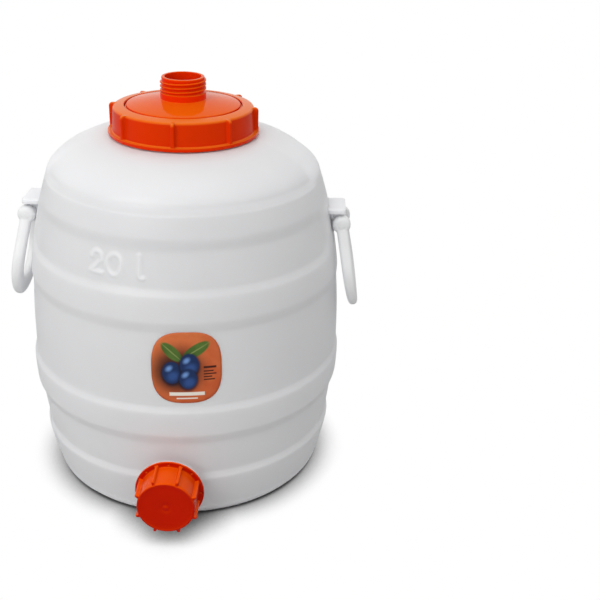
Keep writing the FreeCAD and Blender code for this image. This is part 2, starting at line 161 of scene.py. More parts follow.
SPOUT_R = 20.6 * MM
SPOUT_BORE_R = 17.2 * MM
SPOUT_CREST_R = 22.6 * MM
SPOUT_LENGTH = 21.4 * MM
DRAIN_LEAD = 6 * MM
DRAIN_RIDGE = (2.4 * MM, 1.2 * MM)
CAP_FOOT_GAP = 0.6 * MM
CAP_LENGTH = 28.3 * MM
CAP_TOP_T = 4.0 * MM
CAP_FLANGE_R = 32.2 * MM
CAP_FLANGE_T = 2 * MM
CAP_FOOT_R = 27.0 * MM
CAP_HEAD_R = 26.7 * MM
CAP_EDGE = 1.5 * MM
CAP_BORE_R = 23.4 * MM
CAP_CREST_R = 21.4 * MM
CAP_RIB_R = 30.2 * MM
CAP_RIB_TOP = 27.4 * MM
CAP_RIB_CORNER = 1.6 * MM
CAP_RIBS = (8, 22.5 * DEG, 1.9 * MM, CAP_RIB_R)
CAP_HOLE_R = 1.2 * MM
CAP_HOLE_PITCH_R = 29.7 * MM
CAP_HOLE_FLOOR = 1.2 * MM
# The dished face of the cap and the gate mark on it, as radius and depth, in millimetres.
CAP_DISH = 0.35
CAP_DISH_R = 25.2
CAP_DISH_EDGE = 1.6
CAP_FACE_RADII = (24.8, 24.2, 23.4, 20, 16, 12, 8)
GATE_MARK = ((5, CAP_DISH), (4.2, 0.55), (2.6, 0.55), (1.6, 0.2), (0.6, 0.05))

PIVOT_R = joints["handle_right_swing"]["pos_m"][0]
PIVOT_Z = joints["handle_right_swing"]["pos_m"][2]
LUG_HALF_WIDTH = 9.5 * MM
LUG_NOSE_R = 9 * MM
LUG_TOP_Z = 271.6 * MM
LUG_ROOT = 1.6 * MM
HOOD_T = 4.9 * MM
HOOD_HALF_WIDTH = 18 * MM
HOOD_R = 156.4 * MM
HOOD_CORNER = 3 * MM
HUB_R = 8.8 * MM
HUB_INNER = 10 * MM
HUB_OUTER = 21 * MM
HUB_CORNER = 5 * MM
HUB_NIPPLE_R = 2.5 * MM
PEG_R = 3.92 * MM
PEG_LENGTH = 8 * MM
# Outer and inner outline of the bail: half spacing at the pivot, centre and radius of the bend.
BAIL_OUTLINES = ((19.4 * MM, 51 * MM, 38.5 * MM), (10 * MM, 46 * MM, 25 * MM))
BAIL_HALF_T = 5.5 * MM
BAIL_POWER = 2.7
BAIL_SLIMMER = 0.16
BAIL_SLIM_FROM = 45 * MM
BAIL_SLIM_OVER = 38 * MM
LEFT_TILT = 9.8 * DEG
RIGHT_TILT = 10.5 * DEG
FUSE_VOXEL = 0.6 * MM
FUSE_PASSES = 4

LABEL_ANGLE = 6.6 * DEG
LABEL_Z = 171 * MM
LABEL_HALF = (32 * MM, 35 * MM)
LABEL_T = 0.4 * MM
LABEL_GAP = 0.03 * MM
LABEL_POWER = 2.9


# -------- mesh helpers
def new_mesh(name, verts, faces):
    """Closed mesh from plain vertex and face lists, with its normals facing out."""
    mesh = bpy.data.meshes.new(name)
    mesh.from_pydata([tuple(v) for v in verts], [], faces)
    work = bmesh.new()
    work.from_mesh(mesh)
    bmesh.ops.recalc_face_normals(work, faces=work.faces)
    work.to_mesh(mesh)
    work.free()
    mesh.update()
    return mesh


def joined(name, parts):
    """One mesh from several closed parts, each given as (verts, faces)."""
    verts, faces = [], []
    for part_verts, part_faces in parts:
        start = len(verts)
        verts += [tuple(v) for v in np.reshape(part_verts, (-1, 3))]
        faces += [tuple(start + i for i in face) for face in part_faces]
    return new_mesh(name, verts, faces)


def new_object(name, data):
    """A new object in the scene."""
    obj = bpy.data.objects.new(name, data)
    bpy.context.scene.collection.objects.link(obj)
    return obj


def add_object(name, mesh, coat, replaced=None):
    """Object of a finished mesh. Its coat is (material, CAD body it rides on, material slot); the material
    slot is not used.
    """
    skin, body, slot = coat
    obj = new_object(name, mesh)
    mesh.polygons.foreach_set("use_smooth", [True] * len(mesh.polygons))
    mesh.materials.append(skin)
    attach(obj, body)
    if replaced:
        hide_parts(replaced)


def modified(mesh, *modifiers):
    """The mesh after some modifiers, given as (kind, settings)."""
    obj = new_object("work", mesh)
    for kind, settings in modifiers:
        modifier = obj.modifiers.new(kind, kind)
        for key, value in settings.items():
            setattr(modifier, key, value)
    graph = bpy.context.evaluated_depsgraph_get()
    made = bpy.data.meshes.new_from_object(obj.evaluated_get(graph))
    bpy.data.objects.remove(obj)
    return made


def fused(name, parts):
    """One moulded skin round overlapping closed parts, with small fillets where they meet."""
    made = modified(joined(name, parts),
                    ("REMESH", {"mode": "VOXEL", "voxel_size": FUSE_VOXEL, "adaptivity": 0.0}),
                    ("SMOOTH", {"factor": 0.5, "iterations": FUSE_PASSES}))
    made.name = name
    return made


def carved(mesh, cutter_parts):
    """The mesh less some closed cutters."""
    cutter = new_object("cutter", joined("cutter", cutter_parts))
    made = modified(mesh, ("BOOLEAN", {"operation": "DIFFERENCE", "object": cutter, "solver": "EXACT"}))
    bpy.data.objects.remove(cutter)
    return made


def prism(outline, low, high, axis):
    """Closed solid of a flat outline between two planes across an axis, 1 for Y or 2 for Z."""
    count = len(outline)
    verts = np.insert(np.tile(outline, (2, 1)), axis, np.repeat([low, high], count), axis=1)
    faces = [(i, (i + 1) % count, count + (i + 1) % count, count + i) for i in range(count)]
    return verts, faces + [tuple(range(count))[::-1], tuple(range(count, 2 * count))]


def tube_faces(rows, columns, poles=False, loop=False):
    """Faces of a grid that wraps round its columns: open, looped, or closed by two poles."""
    faces = []
    start = 1 if poles else 0
    for i in range(rows - 1 + (1 if loop else 0)):
        a, b = start + i * columns, start + ((i + 1) % rows) * columns
        for j in range(columns):
            k = (j + 1) % columns
            faces.append((a + j, a + k, b + k, b + j))
    if poles:
        last = start + (rows - 1) * columns
        faces += [(0, start + (j + 1) % columns, start + j) for j in range(columns)]
        faces += [(last + j, last + (j + 1) % columns, last + columns) for j in range(columns)]
    return faces


def capped_faces(rows, columns):
    """Faces of an open tube and of its two flat ends."""
    ends = [tuple(range(columns)), tuple(range((rows - 1) * columns, rows * columns))[::-1]]
    return tube_faces(rows, columns) + ends


def turn_points(radius, height, angles):
    """Grid of points from arrays of radius and height (rows, columns) and column angles."""
    return np.stack([radius * np.sin(angles), -radius * np.cos(angles), height], axis=-1)


def even_angles(count):
    """Angles all round, at even spacing."""
    return np.linspace(0, 2 * math.pi, count, endpoint=False)


def mixed_rows(first, second, share):
    """Rows of radius and height between two outlines, mixed by the share of each column."""
    mix = first[:, None, :] + (second - first)[:, None, :] * share[None, :, None]
    return mix[..., 0], mix[..., 1]


def turned(parts, angles, poles=None):
    """Solid about Z: a closed loop, or between poles at two heights.

    Its parts are outlines that are the same all round, or tuples of radius and height arrays.
    """
    rows = [part if isinstance(part, tuple) else np.array(part).T[..., None] + 0 * angles for part in parts]
    radius, height = map(np.concatenate, zip(*rows))
    grid = turn_points(radius, height, angles)
    verts = grid.reshape(-1, 3)
    if poles is None:
        return verts, tube_faces(*grid.shape[:2], loop=True)
    verts = np.concatenate([[(0, 0, poles[0])], verts, [(0, 0, poles[1])]])
    return verts, tube_faces(*grid.shape[:2], poles=True)


def lathe(outline, steps):
    """Closed solid of (radius, height) points, from one point of the axis to another."""
    return turned([outline[1:-1]], even_angles(steps), (outline[0][1], outline[-1][1]))


def to_drain(verts):
    """Move points built about Z with their foot at z = 0 onto the drain pad, facing -Y."""
    x, y, z = verts[..., 0], verts[..., 1], verts[..., 2]
    return np.stack([x, PAD_Y - z, DRAIN_Z + y], axis=-1)


# -------- outlines and curves
def graded(start, *spans):
    """Positions from start over consecutive spans, each given as (stop, largest step)."""
    values = [start]
    for stop, step in spans:
        count = max(1, math.ceil(abs(stop - start) / step - 1e-9))
        values += [start + (stop - start) * (i + 1) / count for i in range(count)]
        start = stop
    return np.array(values)


def arc(centre, radius, start, stop, pieces=6):
    """Points of an arc in the (r, z) plane, angles in degrees."""
    return [(centre[0] + radius * math.cos(a * DEG), centre[1] + radius * math.sin(a * DEG))
            for a in np.linspace(start, stop, pieces + 1)]


def rounded(points, radius, pieces):
    """Outline of (r, z) points with its inner corners rounded."""
    nearly_straight = 1.55
    pts = [np.array(p, float) for p in points]
    out = [pts[0]]
    for before, corner, after in zip(pts, pts[1:], pts[2:]):
        to_a, to_b = before - corner, after - corner
        length_a, length_b = np.linalg.norm(to_a), np.linalg.norm(to_b)
        half = math.acos(float(np.clip(to_a @ to_b / (length_a * length_b), -1, 1))) / 2
        size = radius(corner) if callable(radius) else radius
        cut = min(size / math.tan(half), 0.48 * length_a, 0.48 * length_b) if half < nearly_straight else 0
        if cut < 1e-6:
            out.append(corner)
            continue
        start, end = corner + to_a / length_a * cut, corner + to_b / length_b * cut
        for i in range(pieces + 1):
            t = i / pieces
            out.append((1 - t) ** 2 * start + 2 * t * (1 - t) * corner + t * t * end)
    out.append(pts[-1])
    return out


def divide(points, step):
    """The same outline with extra points, so that no stretch is longer than step."""
    out = [np.array(points[0], float)]
    for a, b in zip(points, points[1:]):
        a, b = np.array(a, float), np.array(b, float)
        count = max(1, math.ceil(np.linalg.norm(b - a) / step - 1e-9))
        out += [a + (b - a) * (i + 1) / count for i in range(count)]
    return np.array(out)


def even(points, count):
    """An outline resampled to a number of points at even spacing."""
    points = np.array(points)
    run = np.concatenate([[0], np.cumsum(np.linalg.norm(np.diff(points, axis=0), axis=1))])
    at = np.linspace(0, run[-1], count)
    return np.stack([np.interp(at, run, points[:, 0]), np.interp(at, run, points[:, 1])], axis=1)


def soften(points, passes):
    """Round the corners of an outline, keeping its ends."""
    for _ in range(passes):
        points[1:-1] = 0.25 * points[:-2] + 0.5 * points[1:-1] + 0.25 * points[2:]
    return points


def ramp(x, soft=0.25):
    """Rounded ramp from 0 at x = -1 to 1 at x = 1."""
    return 0.5 + (np.sqrt((x + 1) ** 2 + soft) - np.sqrt((x - 1) ** 2 + soft)) / 4


def smooth_max(a, b, width):
    """Larger of two lengths, with a fillet of about the given width where they meet."""
    h = np.clip(0.5 + 0.5 * (a - b) / width, 0, 1)
    return b + (a - b) * h + width * h * (1 - h)


def squircle(angles, power):
    """Coordinates of a rounded square of half-width 1 at the given angles."""
    c, s = np.cos(angles), np.sin(angles)
    return np.sign(c) * np.abs(c) ** (2 / power), np.sign(s) * np.abs(s) ** (2 / power)


# -------- node helpers
def material(name):
    """A new material, its node tree and its shader."""
    mat = bpy.data.materials.new(name)
    mat.use_nodes = True
    tree = mat.node_tree
    return mat, tree, tree.nodes["Principled BSDF"]


def adjust(made, **values):
    """Set a node's properties, or its inputs by name with underscores for spaces."""
    for key, value in values.items():
        if hasattr(made, key):
            setattr(made, key, value)
        else:
            made.inputs[key.replace("_", " ")].default_value = value
    return made


def node(tree, kind, **values):
    """A new node with its values set."""
    return adjust(tree.nodes.new(kind), **values)


def feed(tree, socket, value):
    """Give an input another node's output, a colour or a number."""
    if isinstance(value, bpy.types.NodeSocket):
        tree.links.new(value, socket)
    else:
        socket.default_value = (*value, 1) if isinstance(value, tuple) else value


def calc(tree, operation, *values):
    """Output of a math node; values are sockets or numbers."""
    made = node(tree, "ShaderNodeMath", operation=operation)
    for socket, value in zip(made.inputs, values):
        feed(tree, socket, value)
    return made.outputs[0]


def weighted(tree, a, a_share, b, b_share):
    """Output of a times its share plus b times its share."""
    return calc(tree, "ADD", calc(tree, "MULTIPLY", a, a_share), calc(tree, "MULTIPLY", b, b_share))


def remap(tree, value, **settings):
    """Output of a map range node."""
    made = node(tree, "ShaderNodeMapRange", **settings)
    tree.links.new(value, made.inputs["Value"])
    return made.outputs["Result"]


def noise(tree, place, scale, detail):
    """Output of a noise texture."""
    made = node(tree, "ShaderNodeTexNoise", Scale=scale, Detail=detail)
    tree.links.new(place, made.inputs["Vector"])
    return made.outputs["Fac"]


def two_tone(tree, value, *tones):
    """Colour between two tones, each given as (position, colour)."""
    made = node(tree, "ShaderNodeValToRGB")
    for element, (position, colour) in zip(made.color_ramp.elements, tones):
        element.position = position
        element.color = (*colour, 1)
    tree.links.new(value, made.inputs["Fac"])
    return made.outputs["Color"]


def paint(tree, below, colour, mask):
    """Colour over colour by a mask."""
    mix = node(tree, "ShaderNodeMix", data_type="RGBA")
    tree.links.new(mask, mix.inputs["Factor"])
    colour_sockets = [socket for socket in mix.inputs if socket.type == "RGBA"]
    for socket, value in zip(colour_sockets, (below, colour)):
        feed(tree, socket, value)
    return next(socket for socket in mix.outputs if socket.type == "RGBA")


def mixed_shader(tree, share, first, second):
    """Output between two shaders."""
    mix = node(tree, "ShaderNodeMixShader")
    for socket, value in zip(mix.inputs, (share, first, second)):
        tree.links.new(value, socket)
    return mix.outputs[0]


def finish_surface(tree, shader, colour, polish, roughness, height, bump, depth):
    """Connect a shader's colour, its uneven polish and its fine relief."""
    tree.links.new(colour, shader.inputs["Base Color"])
    uneven = remap(tree, polish, To_Min=roughness[0], To_Max=roughness[1])
    tree.links.new(uneven, shader.inputs["Roughness"])
    relief = node(tree, "ShaderNodeBump", Strength=bump, Distance=depth)
    tree.links.new(height, relief.inputs["Height"])
    tree.links.new(relief.outputs["Normal"], shader.inputs["Normal"])


# -------- materials
def moulded(name, colour, dark, scale, roughness, bump, fine=900.0, upper=None, **values):
    """Plastic with slow colour drift, fine surface grain and uneven polish.

    Faces turned upwards take the colour upper, if there is one: a painted highlight, as if lit from above.
    Other values go to the shader.
    """
    mat, tree, shader = material(name)
    adjust(shader, Subsurface_Scale=1.0, **values)
    coords = node(tree, "ShaderNodeTexCoord").outputs
    slow = noise(tree, coords["Object"], scale, 3.0)
    grain = noise(tree, coords["Object"], fine, 2.0)
    body = two_tone(tree, slow, (0.3, dark), (0.7, colour))
    # Painted highlight: faces turned upwards are mixed towards the colour upper.
    if upper:
        facing = node(tree, "ShaderNodeSeparateXYZ")
        tree.links.new(coords["Normal"], facing.inputs["Vector"])
        painted_top_light = remap(tree, facing.outputs["Z"], interpolation_type="SMOOTHSTEP", From_Min=-0.1)
        body = paint(tree, body, upper, painted_top_light)
    height = calc(tree, "ADD", slow, grain)
    finish_surface(tree, shader, body, grain, roughness, height, bump, 0.3 * MM)
    return mat


def milky_plastic(name, colour, dark):
    """Translucent white of the barrel."""
    return moulded(name, colour, dark, scale=9.0, roughness=(0.34, 0.46), bump=0.12, fine=500.0, IOR=1.5,
                   Subsurface_Weight=0.6, Subsurface_Radius=(0.02, 0.02, 0.021))


def orange_plastic(name, colour, upper, roughness, gloss, ior, bump):
    """Reddish orange of the lid and the cap, yellower on top as a painted highlight."""
    return moulded(name, colour, tuple(0.9 * c for c in colour), scale=25.0, roughness=roughness, bump=bump,
                   fine=400.0, upper=upper, Subsurface_Weight=0.06,
                   Subsurface_Radius=(0.004, 0.001, 0.0005),
                   Specular_IOR_Level=gloss, IOR=ior, Specular_Tint=(1.0, 0.62, 0.2, 1))


MILKY = milky_plastic("milky_plastic", (0.885, 0.89, 0.92), (0.86, 0.865, 0.9))
# The lugs take a darker copy of the milky white: painted shade that tones down their hoods, which face the
# light.
MILKY_SHADED = milky_plastic("milky_plastic_shaded", (0.83, 0.835, 0.86), (0.81, 0.815, 0.84))
HANDLE = moulded("handle_plastic", (0.79, 0.79, 0.79), (0.76, 0.765, 0.765), scale=30.0,
                 roughness=(0.36, 0.5), bump=0.12, Subsurface_Weight=0.35,
                 Subsurface_Radius=(0.004, 0.004, 0.004))
# The second colour of each orange is its painted highlight on faces turned up.
ORANGE = orange_plastic("orange_plastic", (0.66, 0.022, 0.0), (0.76, 0.145, 0.009), (0.18, 0.28),
                        gloss=0.2, ior=1.36, bump=0.02)
ORANGE_GLOSS = orange_plastic("orange_gloss", (0.80, 0.023, 0.0), (0.76, 0.1, 0.002), (0.06, 0.10),
                              gloss=0.09, ior=1.38, bump=0.008)
# The cap's orange is darker than the others, painted shade on its face and sides, with a brighter painted
# highlight on top.
ORANGE_CAP_SHADED = orange_plastic("orange_cap_shaded", (0.50, 0.006, 0.0), (0.80, 0.078, 0.0005), (0.2, 0.3),
                            gloss=0.2, ior=1.36, bump=0.02)
SEAL = moulded("seal_rubber", (0.55, 0.54, 0.5), (0.45, 0.44, 0.41), scale=60.0, roughness=(0.6, 0.8),
               bump=0.3)

BARREL_COAT = (MILKY, "barrel", "white_plastic")
LUG_COAT = (MILKY_SHADED, "barrel", "white_plastic")
RING_COAT = (ORANGE, "lid_ring", "orange_plastic")
DISC_COAT = (ORANGE_GLOSS, "lid_insert", "orange_plastic")
CAP_COAT = (ORANGE_CAP_SHADED, "drain_cap", "orange_plastic")


# -------- barrel shell
def wall_radius(z):
    """Outside radius of the plain wall, as in the frame."""
    above = np.clip((z - BELLY_Z) / (SHOULDER_Z - BELLY_Z), 0, None)
    below = np.clip((BELLY_Z - z) / (BELLY_Z - HEEL_Z), 0, None)
    return (BELLY_R - (BELLY_R - SHOULDER_R) * above ** UPPER_POWER
            - (BELLY_R - HEEL_R) * below ** LOWER_POWER)


def dome(start_r, start_z, top_z, shares):
    """Points of the domed shoulder, share 0 at its edge and 1 at the root of the neck."""
    turns = [(1 - share) * math.pi / 2 for share in shares]
    return [(DOME_TOP_R + (start_r - DOME_TOP_R) * math.sin(turn) ** (2 / DOME_POWER),
             start_z + (top_z - start_z) * math.cos(turn) ** (2 / DOME_POWER)) for turn in turns]


def side_angle(angles):
    """Angle from the nearer of the front and the back, so the handles are at 90 degrees."""
    return np.abs(np.arcsin(np.sin(np.abs(angles))))


def recess(z, angles, low, high, depth, corner=None):
    """Depth of one recess at a point. A corner closes its ends.

    The upper edge, the eave, slopes more gently than the sill below.
    """
    step = np.where(z > (low + high) / 2, EAVE_HALF, SILL_HALF)
    out_z = np.maximum(low - z, z - high)
    if corner is None:
        return depth * ramp(-out_z / step)
    out_x = (side_angle(angles) - RECESS_END) * wall_radius(z)
    past_x, past_z = np.maximum(out_x + corner, 0), np.maximum(out_z + corner, 0)
    distance = np.minimum(np.maximum(out_x, out_z) + corner, 0) + np.hypot(past_x, past_z) - corner
    return depth * ramp(-distance / step)


def recess_depth(z, angles):
    """Depth of all the recesses at a point. The label's recess is shallower below the handles."""
    near_handle = ramp((side_angle(angles) - SHALLOW_MIDDLE) / SHALLOW_HALF, 0.1)
    low, high, depth = LABEL_RECESS
    return (recess(z, angles, *UPPER_RECESS, RECESS_CORNER)
            + recess(z, angles, low, high, depth * (1 - SHALLOW * near_handle))
            + recess(z, angles, *LOWER_RECESS))


def stroke_distance(x, z, paths):
    """Distance from points to the nearest of some polylines."""
    best = np.full(np.broadcast(x, z).shape, 1.0)
    for path in paths:
        for (x0, z0), (x1, z1) in zip(path, path[1:]):
            dx, dz = x1 - x0, z1 - z0
            t = np.clip(((x - x0) * dx + (z - z0) * dz) / (dx * dx + dz * dz), 0, 1)
            best = np.minimum(best, np.hypot(x - x0 - t * dx, z - z0 - t * dz))
    return best


def capacity_strokes():
    """Plain figures 20 and a litre sign, as strokes from (0, 0), in a box 21 mm high."""
    two = [(6.2 - 5.4 * math.cos(a), 13.6 + 5.4 * math.sin(a)) for a in np.linspace(0.1, 3.5, 12)]
    two += [(0.4, 1.0), (12.6, 1.0)]
    nought = [(24.9 + 7.0 * math.sin(a), 9.9 + 9.0 * math.cos(a))
              for a in np.linspace(0, 2 * math.pi, 29)]
    litre = [(48.8, 20.4), (48.8, 3.6), (49.5, 1.8), (50.9, 1.0), (53.2, 1.1)]
    return [[(x * MM, z * MM) for x, z in path] for path in (two, nought, litre)]


def capacity_relief(z, angles):
    """Height of the raised capacity figures."""
    x = (angles - CAPACITY_ANGLE) * wall_radius(CAPACITY_Z)
    distance = stroke_distance(x, z - CAPACITY_Z, capacity_strokes())
    return RELIEF * ramp((STROKE_HALF - distance) / STROKE_EDGE, 0.2)


def pad_lift(radius, z, angles):
    """The wall swells out to a flat pad round the drain spout."""
    least_cosine = 0.5
    front = np.cos(angles) > least_cosine
    off_axis = np.hypot(radius * np.sin(angles), z - DRAIN_Z)
    flat = -PAD_Y / np.maximum(np.cos(angles), least_cosine)
    pad = flat - PAD_SLOPE * np.maximum(off_axis - PAD_R, 0)
    return np.where(front & (off_axis < PAD_REACH), smooth_max(pad, radius, PAD_FILLET), radius)


def shell_heights():
    """Heights of the wall rows, close together where there is relief."""
    spans = ((12, 0.5), (48, 1.3), (56, 0.6), (89, 1.3), (103, 0.7), (125, 3), (133, 0.6), (203, 4),
             (217, 0.7), (237, 3), (246, 0.6), (275, 0.8), (289, 0.7))
    return graded(HEEL_Z, *((stop * MM, step * MM) for stop, step in spans),
                  (SHOULDER_Z - STEP_HALF, 2 * MM))


def shell_angles():
    """Angles of the columns, from the back round and back to it."""
    spans = ((-106, 1.5), (-70, 0.7), (-36, 1.2), (-6, 0.33), (16, 0.4), (70, 1.2), (106, 0.7),
             (180, 1.5))
    return graded(-180 * DEG, *((stop * DEG, step * DEG) for stop, step in spans))[:-1]


def foot_outline():
    """Push-up, standing ring and heel, from the middle of the base outwards."""
    points = [(POLE_R, PUSH_UP), (FOOT_IN_R - PUSH_UP, PUSH_UP), (FOOT_IN_R, 0), (FOOT_R, 0),
              (HEEL_R - 0.4 * MM, HEEL_Z - 1 * MM)]
    return divide(rounded(points, FOOT_FILLET, 5), 9 * MM)


def wall_rows(angles):
    """Outside of the wall with its recesses, its capacity figures, its seam and the drain pad."""
    z = shell_heights()[:, None]
    radius = wall_radius(z) - recess_depth(z, angles) + capacity_relief(z, angles)
    seam = SEAM_HEIGHT * ramp(1 - np.abs(z - SEAM_Z) / SEAM_HALF, 0.3)
    return pad_lift(radius + seam, z, angles), z + 0 * angles


def shoulder_rows(angles):
    """Outside of the dome, over a step at the front and the back but not above the handles."""
    shares = np.linspace(0, 1, 90)
    brow = (float(wall_radius(SHOULDER_Z - STEP_HALF)), SHOULDER_Z - STEP_HALF)
    stepped = dome(SHOULDER_R - DOME_STEP, SHOULDER_Z + STEP_HALF, DOME_TOP_Z - 0.3 * MM, shares)
    plain = dome(SHOULDER_R, SHOULDER_Z, DOME_TOP_Z, shares)
    stepped, plain = (soften(even([brow] + points, 84), 3)[1:] for points in (stepped, plain))
    handle_zone = ramp((side_angle(angles) - RECESS_END) / DOME_STEP_END, 0.3)
    return mixed_rows(stepped, plain, handle_zone)


def neck_outline():
    """Neck, from the dome over its rim and down the bore."""
    points = [(DOME_TOP_R - 2 * MM, DOME_TOP_Z), (NECK_R, DOME_TOP_Z), (NECK_R, NECK_RIM_Z),
              (NECK_BORE_R, NECK_RIM_Z), (NECK_BORE_R, DOME_TOP_Z - WALL)]
    return divide(rounded(points, 1 * MM, 4), 4 * MM)


def inner_wall_rows(angles):
    """Inside of the wall, from the shoulder down."""
    z = graded(SHOULDER_Z - 2 * MM, (HEEL_Z + 3 * MM, 5 * MM))[:, None]
    return wall_radius(z) - recess_depth(z, angles) - WALL, z + 0 * angles


def floor_outline():
    """Inside of the base, from the heel to the middle."""
    points = [(HEEL_R - 4.4 * MM, HEEL_Z + 1 * MM), (FOOT_R - 2 * MM, WALL), (FOOT_IN_R + 1 * MM, WALL),
              (FOOT_IN_R - PUSH_UP, PUSH_UP + WALL), (POLE_R, PUSH_UP + WALL)]
    return divide(rounded(points, FOOT_FILLET, 4), 9 * MM)


def barrel_shell():
    """Outer and inner surface of the shell as one closed grid, with the hole to the spout."""
    angles = shell_angles()
    inner_dome = dome(SHOULDER_R - DOME_STEP - WALL, SHOULDER_Z, DOME_TOP_Z - WALL - 0.4 * MM,
                      np.linspace(0.97, 0, 22))
    parts = [foot_outline(), wall_rows(angles), shoulder_rows(angles), neck_outline(), inner_dome,
             inner_wall_rows(angles), floor_outline()]
    mesh = new_mesh("barrel_shell", *turned(parts, angles, (PUSH_UP, PUSH_UP + WALL)))
    behind, ahead = -16 * MM, 8 * MM
    verts, faces = lathe([(0, behind), (SPOUT_BORE_R, behind), (SPOUT_BORE_R, ahead), (0, ahead)], 64)
    mesh = carved(mesh, [(to_drain(verts), faces)])
    add_object("barrel_shell", mesh, BARREL_COAT, "barrel_body")


def ridge(name, root, crest, widths, lead, turns, start, coat, place=None, first=0.0):
    """Helical thread ridge that tapers out at both ends, as a closed strip from the angle first.

    It starts at a height along its own axis, Z, and place moves its points to where they belong.
    """
    steps_a_turn, taper_degrees, sunk = 72, 25, 0.4 * MM
    count = int(steps_a_turn * turns)
    share = np.linspace(0, 1, count + 1)
    fade = np.clip(np.minimum(share, 1 - share) * turns * 360 / taper_degrees, 0.02, 1)[:, None]
    angle = (share * turns * 2 * math.pi)[:, None]
    foot = root + (-sunk if crest > root else sunk)
    flank = root + 0.55 * (crest - root)
    half_root, half_crest = widths[0] / 2, widths[1] / 2
    section_r = np.array([foot, flank, crest, crest, flank, foot])
    section_z = np.array([-half_root, -0.8 * half_root, -half_crest,
                          half_crest, 0.8 * half_root, half_root])
    r = foot + (section_r - foot)[None, :] * fade
    z = start + lead * angle / (2 * math.pi) + section_z[None, :]
    verts = np.stack([r * np.cos(angle + first), r * np.sin(angle + first), z + 0 * r], axis=-1)
    if place:
        verts = place(verts)
    rows, sides = verts.shape[:2]
    add_object(name, new_mesh(name, verts.reshape(-1, 3), capped_faces(rows, sides)), coat)


# -------- ribbed caps
def rib_angles(count, phase, half, radius):
    """Column angles all round, close together at the ribs."""
    angles = []
    pitch = 2 * math.pi / count
    near = (half + 1.6 * MM) / radius
    for i in range(count):
        middle = phase + i * pitch
        angles.append(graded(middle - near, (middle + near, 0.28 * MM / radius),
                             (middle + pitch - near, 2.2 * DEG))[:-1])
    return np.concatenate(angles)


def rib_share(angles, count, phase, half, radius, power):
    """1 on the middle of a rib and 0 between the ribs, with a small fillet at its foot."""
    fillet, fillet_height = 0.7 * MM, 0.12
    pitch = 2 * math.pi / count
    off = np.abs((angles - phase + pitch / 2) % pitch - pitch / 2) * radius
    crown = np.clip(1 - (off / half) ** power, 0, 1) ** (1 / power)
    skirt = fillet_height * np.clip(1 - (off - half) / fillet, 0, 1) ** 2
    return np.maximum(crown, skirt)


def lid_ring():
    """Ribbed screw ring of the lid."""
    angles = rib_angles(*LID_RIBS)
    share = rib_share(angles, *LID_RIBS, power=4.0)
    flange = RING_BOTTOM_Z + RING_FLANGE_T
    shoulder = RING_TOP_Z - RING_TOP_FALL
    under = RING_TOP_Z - RING_TOP_T
    start = (LID_RIB_R - 0.05 * MM, flange)
    join = (RING_HEAD_R - RING_SHOULDER - 1.6 * MM, shoulder + 0.35 * MM)
    low = divide(rounded([(RING_BORE_R + 0.5 * MM, RING_BOTTOM_Z), (RING_FLANGE_R, RING_BOTTOM_Z),
                          (RING_FLANGE_R, flange), (LID_RIB_R, flange)], 1.3 * MM, 5), 3 * MM)
    plain = [start, (RING_FOOT_R + 0.5 * MM, flange), (RING_FOOT_R, flange + 0.5 * MM),
             *arc((RING_HEAD_R - RING_SHOULDER, shoulder - RING_SHOULDER), RING_SHOULDER, 0, 84), join]
    ribbed = [start,
              *arc((LID_RIB_R - LID_RIB_CORNER, LID_RIB_TOP_Z - LID_RIB_CORNER), LID_RIB_CORNER, 0, 90),
              (join[0] + 1.2 * MM, LID_RIB_TOP_Z), join]
    top = divide(rounded([join, (RING_WINDOW_R, RING_TOP_Z), (RING_WINDOW_R, under), (RING_BORE_R, under),
                          (RING_BORE_R, RING_BOTTOM_Z), (RING_BORE_R + 0.4 * MM, RING_BOTTOM_Z)],
                         0.9 * MM, 4)[1:], 3 * MM)
    side = mixed_rows(even(plain, 64), even(ribbed, 64), share)
    mesh = new_mesh("lid_ring", *turned([low, side, top], angles))
    add_object("lid_ring", mesh, RING_COAT, "lid_screw_ring")
    ridge("lid_ring_thread", RING_BORE_R, RING_CREST_R, LID_RIDGE, LID_LEAD, 1.5,
          NECK_RIDGE_Z - LID_LEAD / 2, RING_COAT)


def crown(inner_r, outer_r, edge_z):
    """Points of the disc's crown between two radii, where its edge, at DISC_R, is at edge_z."""
    return [(r, edge_z + (DISC_R ** 2 - r ** 2) / (2 * DISC_CROWN_R))
            for r in np.linspace(inner_r, outer_r, 10)]


